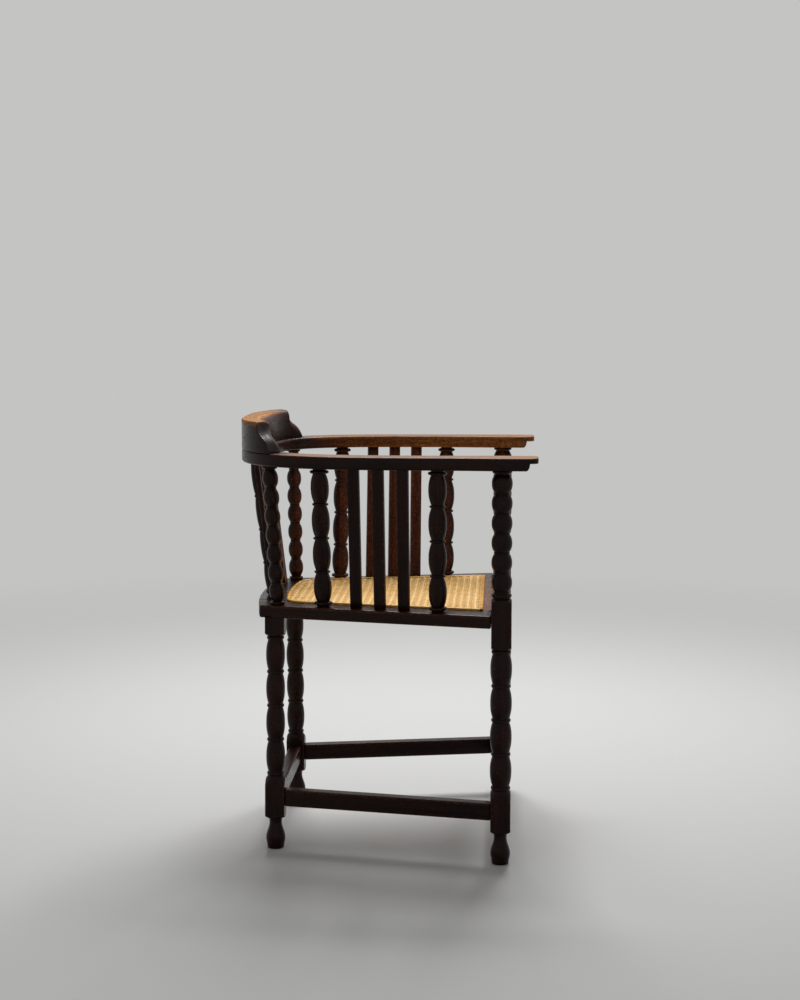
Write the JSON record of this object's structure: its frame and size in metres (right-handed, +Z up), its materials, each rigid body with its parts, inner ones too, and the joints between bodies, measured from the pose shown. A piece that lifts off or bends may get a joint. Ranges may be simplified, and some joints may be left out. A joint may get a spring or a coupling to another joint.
{
  "type": "captain's chair",
  "caption": "Low-backed wooden armchair with bobbin-turned legs and posts, a flat horseshoe arm topped by a short crest, slat and spindle sides, and a woven cane seat.",
  "frame": {"origin": "centre of the bounding box, on the floor", "axes": "+Z up, the sitter faces -Y, so +X is the sitter's left"},
  "size_m": [0.56, 0.531, 0.761],
  "materials": {
    "ebonised_oak": "dark-stained oak, waxed and polished, worn brown on edges and tops",
    "seat_cane": "split rattan cane, natural glossy skin",
    "dowel_beech": "plain unfinished beech"
  },
  "bodies": {
    "root": {"arm_left": "ebonised_oak", "arm_right": "ebonised_oak", "back_bow": "ebonised_oak", "back_leg_left": "ebonised_oak", "back_leg_right": "ebonised_oak", "back_slat_left": "ebonised_oak", "back_slat_middle": "ebonised_oak", "back_slat_right": "ebonised_oak", "back_spindle_left": "ebonised_oak", "back_spindle_right": "ebonised_oak", "bow_dowel_inner_left": "dowel_beech", "bow_dowel_inner_right": "dowel_beech", "bow_dowel_outer_left": "dowel_beech", "bow_dowel_outer_right": "dowel_beech", "cane_binder_back": "seat_cane", "cane_binder_front": "seat_cane", "cane_binder_left": "seat_cane", "cane_binder_right": "seat_cane", "cane_panel": "seat_cane", "corner_post_left": "ebonised_oak", "corner_post_right": "ebonised_oak", "crest_dowel_1": "dowel_beech", "crest_dowel_2": "dowel_beech", "crest_dowel_3": "dowel_beech", "crest_dowel_4": "dowel_beech", "crest_rail": "ebonised_oak", "front_post_left": "ebonised_oak", "front_post_right": "ebonised_oak", "seat_rail_back": "ebonised_oak", "seat_rail_front": "ebonised_oak", "seat_rail_left": "ebonised_oak", "seat_rail_right": "ebonised_oak", "side_slat_front_left": "ebonised_oak", "side_slat_front_right": "ebonised_oak", "side_slat_middle_left": "ebonised_oak", "side_slat_middle_right": "ebonised_oak", "side_slat_rear_left": "ebonised_oak", "side_slat_rear_right": "ebonised_oak", "side_spindle_front_left": "ebonised_oak", "side_spindle_front_right": "ebonised_oak", "side_spindle_rear_left": "ebonised_oak", "side_spindle_rear_right": "ebonised_oak", "stretcher_back": "ebonised_oak", "stretcher_front": "ebonised_oak", "stretcher_left": "ebonised_oak", "stretcher_right": "ebonised_oak"}
  },
  "joints": []
}
